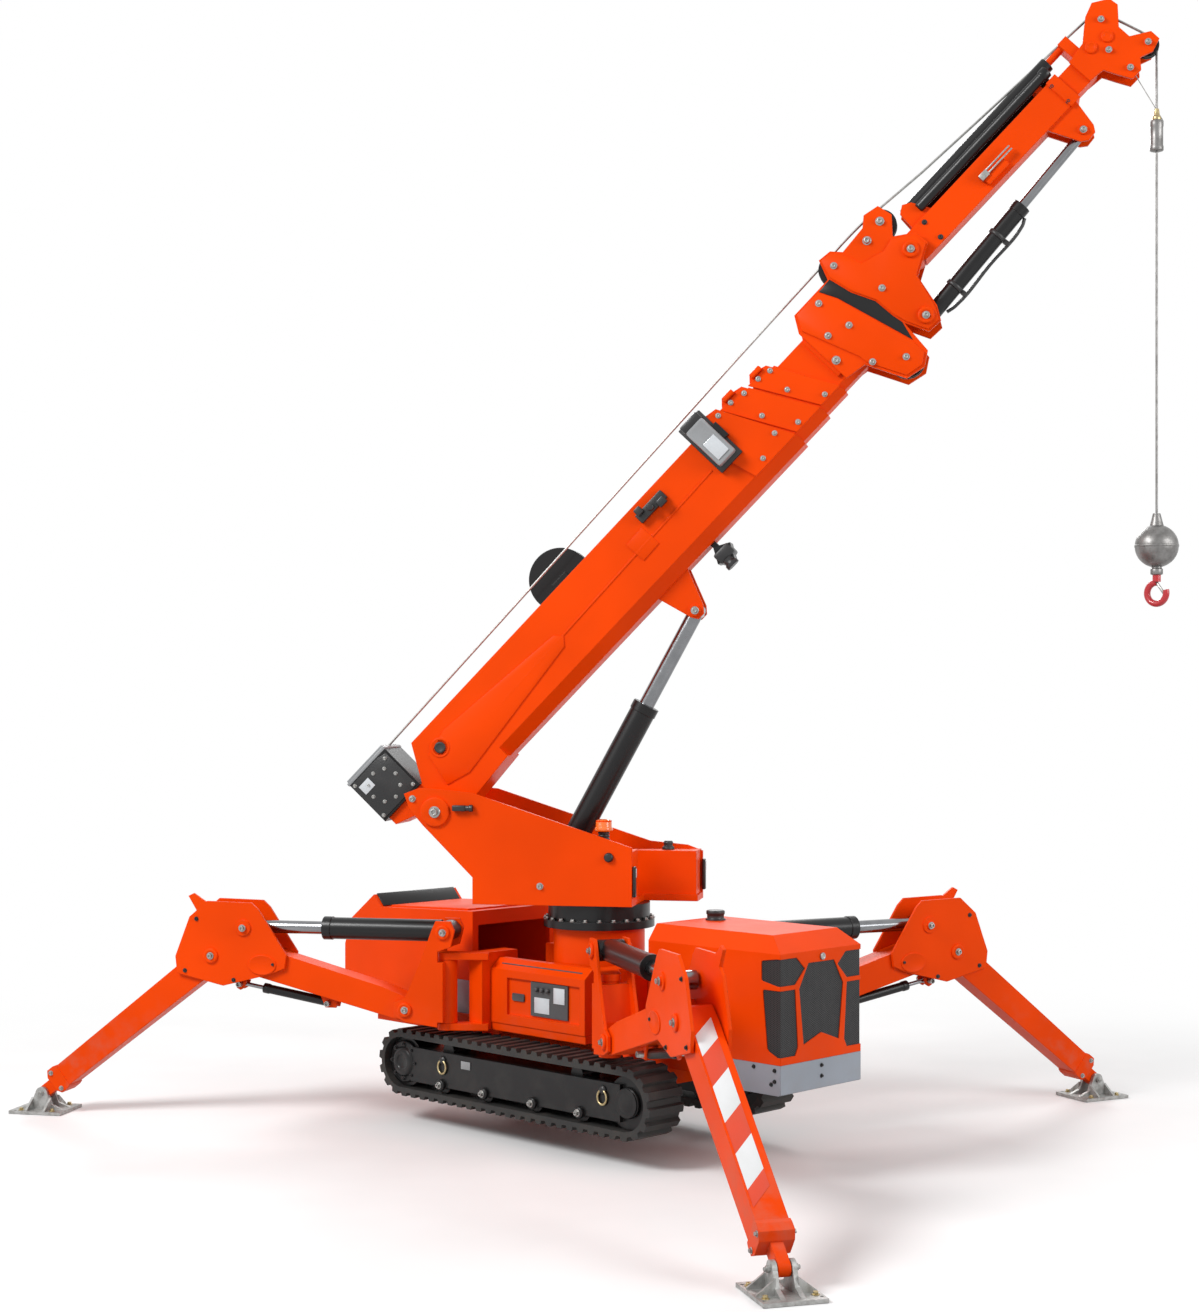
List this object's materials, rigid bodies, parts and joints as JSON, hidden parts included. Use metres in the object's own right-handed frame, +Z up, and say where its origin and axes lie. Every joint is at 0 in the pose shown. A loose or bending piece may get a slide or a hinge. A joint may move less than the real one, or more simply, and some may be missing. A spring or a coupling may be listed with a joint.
{
  "type": "spider crawler crane",
  "caption": "Compact tracked crane raised on folding outriggers, with a slewing turret, telescopic boom, luffing jib, winch, hoist line, ball and hook.",
  "frame": {"origin": "on the ground under the slewing axis", "axes": "+X towards the engine cover, +Y to the side away from the picture, +Z up"},
  "size_m": [5.4937, 4.7255, 5.6566],
  "materials": {
    "black_paint": "black paint",
    "cast_pad": "bare cast iron",
    "chrome_rod": "ground chrome",
    "engine": "painted iron",
    "grey_paint": "grey paint",
    "grille_mesh": "black perforated sheet",
    "orange_paint": "gloss orange paint",
    "red_paint": "red paint",
    "steel": "bare steel",
    "track_rubber": "worn rubber"
  },
  "bodies": {
    "chassis": {"chassis_frame": "orange_paint", "engine_cover": "orange_paint", "engine_block": "engine", "cover_grilles": "grille_mesh", "bumper_skirt": "grey_paint", "side_boxes": "orange_paint", "rear_box": "orange_paint", "track_near": "track_rubber", "track_far": "track_rubber", "track_frames": "black_paint", "slewing_ring": "black_paint"},
    "turret": {"turret_frame": "orange_paint", "beacon": "orange_paint"},
    "lift_barrel": {"lift_barrel": "black_paint"},
    "lift_rod": {"lift_rod": "chrome_rod"},
    "boom": {"boom_base": "orange_paint", "winch": "black_paint", "cable_reel": "black_paint", "boom_lamps": "black_paint"},
    "section_2": {"boom_section_2": "orange_paint"},
    "section_3": {"boom_section_3": "orange_paint"},
    "section_4": {"boom_section_4": "orange_paint", "boom_head": "orange_paint", "head_sheaves": "black_paint"},
    "jib": {"jib_arm": "orange_paint", "jib_ram": "black_paint"},
    "jib_barrel": {"jib_barrel": "black_paint"},
    "jib_rod": {"jib_rod": "chrome_rod"},
    "jib_slide": {"jib_slide": "orange_paint", "jib_sheaves": "black_paint"},
    "hook_line": {"hoist_fall": "steel", "hook": "red_paint"},
    "front_near_bracket": {"front_near_bracket": "orange_paint"},
    "front_near_arm": {"front_near_arm": "orange_paint"},
    "front_near_barrel": {"front_near_barrel": "black_paint"},
    "front_near_rod": {"front_near_rod": "chrome_rod"},
    "front_near_leg": {"front_near_leg": "orange_paint"},
    "front_near_pad": {"front_near_pad": "cast_pad"},
    "front_far_bracket": {"front_far_bracket": "orange_paint"},
    "front_far_arm": {"front_far_arm": "orange_paint"},
    "front_far_barrel": {"front_far_barrel": "black_paint"},
    "front_far_rod": {"front_far_rod": "chrome_rod"},
    "front_far_leg": {"front_far_leg": "orange_paint"},
    "front_far_pad": {"front_far_pad": "cast_pad"},
    "rear_near_bracket": {"rear_near_bracket": "orange_paint"},
    "rear_near_arm": {"rear_near_arm": "orange_paint"},
    "rear_near_barrel": {"rear_near_barrel": "black_paint"},
    "rear_near_rod": {"rear_near_rod": "chrome_rod"},
    "rear_near_leg": {"rear_near_leg": "orange_paint"},
    "rear_near_pad": {"rear_near_pad": "cast_pad"},
    "rear_far_bracket": {"rear_far_bracket": "orange_paint"},
    "rear_far_arm": {"rear_far_arm": "orange_paint"},
    "rear_far_barrel": {"rear_far_barrel": "black_paint"},
    "rear_far_rod": {"rear_far_rod": "chrome_rod"},
    "rear_far_leg": {"rear_far_leg": "orange_paint"},
    "rear_far_pad": {"rear_far_pad": "cast_pad"}
  },
  "joints": [
    {"name": "slew", "type": "hinge", "parent": "chassis", "child": "turret", "pos_m": [0, 0, 1.193], "axis": [0, 0, 1], "continuous": true},
    {"name": "boom_luff", "type": "hinge", "parent": "turret", "child": "boom", "pos_m": [-0.65826, -0.444, 1.659], "axis": [0.5592, -0.829, 0], "range_deg": [-42, 32]},
    {"name": "lift_barrel_turn", "type": "hinge", "parent": "turret", "child": "lift_barrel", "pos_m": [-0.20726, -0.1398, 1.29], "axis": [0.5592, -0.829, 0], "range_deg": [-42.3, 32.3]},
    {"name": "lift_rod_slide", "type": "slide", "parent": "lift_barrel", "child": "lift_rod", "axis": [0.396, 0.2671, 0.8785], "range_m": [-0.4583, 0.3496]},
    {"name": "telescope", "type": "slide", "parent": "boom", "child": "section_2", "axis": [0.5759, 0.3884, 0.7193], "range_m": [0, 1.55]},
    {"name": "telescope_3", "type": "slide", "parent": "section_2", "child": "section_3", "axis": [0.5759, 0.3884, 0.7193], "range_m": [0, 1.55]},
    {"name": "telescope_4", "type": "slide", "parent": "section_3", "child": "section_4", "axis": [0.5759, 0.3884, 0.7193], "range_m": [0, 1.55]},
    {"name": "jib_luff", "type": "hinge", "parent": "section_4", "child": "jib", "pos_m": [1.32105, 0.89106, 4.45952], "axis": [0.5592, -0.829, 0], "range_deg": [-50, 5]},
    {"name": "jib_barrel_turn", "type": "hinge", "parent": "section_4", "child": "jib_barrel", "pos_m": [1.38328, 0.93303, 4.12985], "axis": [0.5592, -0.829, 0], "range_deg": [-45.8, 5]},
    {"name": "jib_rod_slide", "type": "slide", "parent": "jib_barrel", "child": "jib_rod", "axis": [0.5366, 0.362, 0.7622], "range_m": [-0.273, 0.0291]},
    {"name": "jib_extend", "type": "slide", "parent": "jib", "child": "jib_slide", "axis": [0.5759, 0.3884, 0.7193], "range_m": [0, 0.7]},
    {"name": "hook_swing", "type": "hinge", "parent": "jib_slide", "child": "hook_line", "pos_m": [2.26791, 1.52973, 5.43349], "axis": [-0.5592, 0.829, 0], "range_deg": [-25, 25]},
    {"name": "front_near_swing", "type": "hinge", "parent": "chassis", "child": "front_near_bracket", "pos_m": [0.56, -0.49, 0.72], "axis": [0, 0, -1], "range_deg": [-24, 51]},
    {"name": "front_near_raise", "type": "hinge", "parent": "front_near_bracket", "child": "front_near_arm", "pos_m": [0.7393, -0.58939, 0.625], "axis": [0.4848, 0.8746, 0], "range_deg": [-45, 6]},
    {"name": "front_near_barrel_turn", "type": "hinge", "parent": "front_near_bracket", "child": "front_near_barrel", "pos_m": [0.56, -0.49, 1.03], "axis": [0.4848, 0.8746, 0], "range_deg": [-41.9, 6]},
    {"name": "front_near_rod_slide", "type": "slide", "parent": "front_near_barrel", "child": "front_near_rod", "axis": [0.8746, -0.4848, -0.0018], "range_m": [-0.3473, 0.048]},
    {"name": "front_near_knee", "type": "hinge", "parent": "front_near_arm", "child": "front_near_leg", "pos_m": [1.67776, -1.10959, 0.877], "axis": [-0.4848, -0.8746, 0], "range_deg": [-60, 25]},
    {"name": "front_near_ankle", "type": "hinge", "parent": "front_near_leg", "child": "front_near_pad", "pos_m": [2.55196, -1.59416, 0.1], "axis": [-0.4848, -0.8746, 0], "range_deg": [-25, 25]},
    {"name": "front_far_swing", "type": "hinge", "parent": "chassis", "child": "front_far_bracket", "pos_m": [0.56, 0.49, 0.72], "axis": [0, 0, -1], "range_deg": [-8, 67]},
    {"name": "front_far_raise", "type": "hinge", "parent": "front_far_bracket", "child": "front_far_arm", "pos_m": [0.62335, 0.68497, 0.625], "axis": [-0.9511, 0.309, 0], "range_deg": [-45, 6]},
    {"name": "front_far_barrel_turn", "type": "hinge", "parent": "front_far_bracket", "child": "front_far_barrel", "pos_m": [0.56, 0.49, 1.03], "axis": [-0.9511, 0.309, 0], "range_deg": [-41.9, 6]},
    {"name": "front_far_rod_slide", "type": "slide", "parent": "front_far_barrel", "child": "front_far_rod", "axis": [0.309, 0.9511, -0.0018], "range_m": [-0.3473, 0.048]},
    {"name": "front_far_knee", "type": "hinge", "parent": "front_far_arm", "child": "front_far_leg", "pos_m": [0.95492, 1.70545, 0.877], "axis": [0.9511, -0.309, 0], "range_deg": [-60, 25]},
    {"name": "front_far_ankle", "type": "hinge", "parent": "front_far_leg", "child": "front_far_pad", "pos_m": [1.26379, 2.65604, 0.1], "axis": [0.9511, -0.309, 0], "range_deg": [-25, 25]},
    {"name": "rear_near_swing", "type": "hinge", "parent": "chassis", "child": "rear_near_bracket", "pos_m": [-0.62, -0.49, 0.72], "axis": [0, 0, -1], "range_deg": [-48, 27]},
    {"name": "rear_near_raise", "type": "hinge", "parent": "rear_near_bracket", "child": "rear_near_arm", "pos_m": [-0.79385, -0.59863, 0.625], "axis": [0.5299, -0.848, 0], "range_deg": [-45, 6]},
    {"name": "rear_near_barrel_turn", "type": "hinge", "parent": "rear_near_bracket", "child": "rear_near_barrel", "pos_m": [-0.62, -0.49, 1.03], "axis": [0.5299, -0.848, 0], "range_deg": [-41.9, 6]},
    {"name": "rear_near_rod_slide", "type": "slide", "parent": "rear_near_barrel", "child": "rear_near_rod", "axis": [-0.848, -0.5299, -0.0018], "range_m": [-0.3473, 0.048]},
    {"name": "rear_near_knee", "type": "hinge", "parent": "rear_near_arm", "child": "rear_near_leg", "pos_m": [-1.70381, -1.16724, 0.877], "axis": [-0.5299, 0.848, 0], "range_deg": [-60, 25]},
    {"name": "rear_near_ankle", "type": "hinge", "parent": "rear_near_leg", "child": "rear_near_pad", "pos_m": [-2.55144, -1.6969, 0.1], "axis": [-0.5299, 0.848, 0], "range_deg": [-25, 25]},
    {"name": "rear_far_swing", "type": "hinge", "parent": "chassis", "child": "rear_far_bracket", "pos_m": [-0.62, 0.49, 0.72], "axis": [0, 0, -1], "range_deg": [-27, 48]},
    {"name": "rear_far_raise", "type": "hinge", "parent": "rear_far_bracket", "child": "rear_far_arm", "pos_m": [-0.79385, 0.59863, 0.625], "axis": [-0.5299, -0.848, 0], "range_deg": [-45, 6]},
    {"name": "rear_far_barrel_turn", "type": "hinge", "parent": "rear_far_bracket", "child": "rear_far_barrel", "pos_m": [-0.62, 0.49, 1.03], "axis": [-0.5299, -0.848, 0], "range_deg": [-41.9, 6]},
    {"name": "rear_far_rod_slide", "type": "slide", "parent": "rear_far_barrel", "child": "rear_far_rod", "axis": [-0.848, 0.5299, -0.0018], "range_m": [-0.3473, 0.048]},
    {"name": "rear_far_knee", "type": "hinge", "parent": "rear_far_arm", "child": "rear_far_leg", "pos_m": [-1.70381, 1.16724, 0.877], "axis": [0.5299, 0.848, 0], "range_deg": [-60, 25]},
    {"name": "rear_far_ankle", "type": "hinge", "parent": "rear_far_leg", "child": "rear_far_pad", "pos_m": [-2.55144, 1.6969, 0.1], "axis": [0.5299, 0.848, 0], "range_deg": [-25, 25]}
  ],
  "couplings": [
    {"joint": "lift_barrel_turn", "follows": "boom_luff", "ratio": 0.995},
    {"joint": "lift_rod_slide", "follows": "boom_luff", "m_per_rad": 0.62243},
    {"joint": "telescope_3", "follows": "telescope", "ratio": 1},
    {"joint": "telescope_4", "follows": "telescope", "ratio": 1},
    {"joint": "jib_barrel_turn", "follows": "jib_luff", "ratio": 0.905},
    {"joint": "jib_rod_slide", "follows": "jib_luff", "m_per_rad": 0.31051},
    {"joint": "front_near_barrel_turn", "follows": "front_near_raise", "ratio": 0.92},
    {"joint": "front_near_rod_slide", "follows": "front_near_raise", "m_per_rad": 0.4396},
    {"joint": "front_far_barrel_turn", "follows": "front_far_raise", "ratio": 0.92},
    {"joint": "front_far_rod_slide", "follows": "front_far_raise", "m_per_rad": 0.4396},
    {"joint": "rear_near_barrel_turn", "follows": "rear_near_raise", "ratio": 0.92},
    {"joint": "rear_near_rod_slide", "follows": "rear_near_raise", "m_per_rad": 0.4396},
    {"joint": "rear_far_barrel_turn", "follows": "rear_far_raise", "ratio": 0.92},
    {"joint": "rear_far_rod_slide", "follows": "rear_far_raise", "m_per_rad": 0.4396}
  ]
}
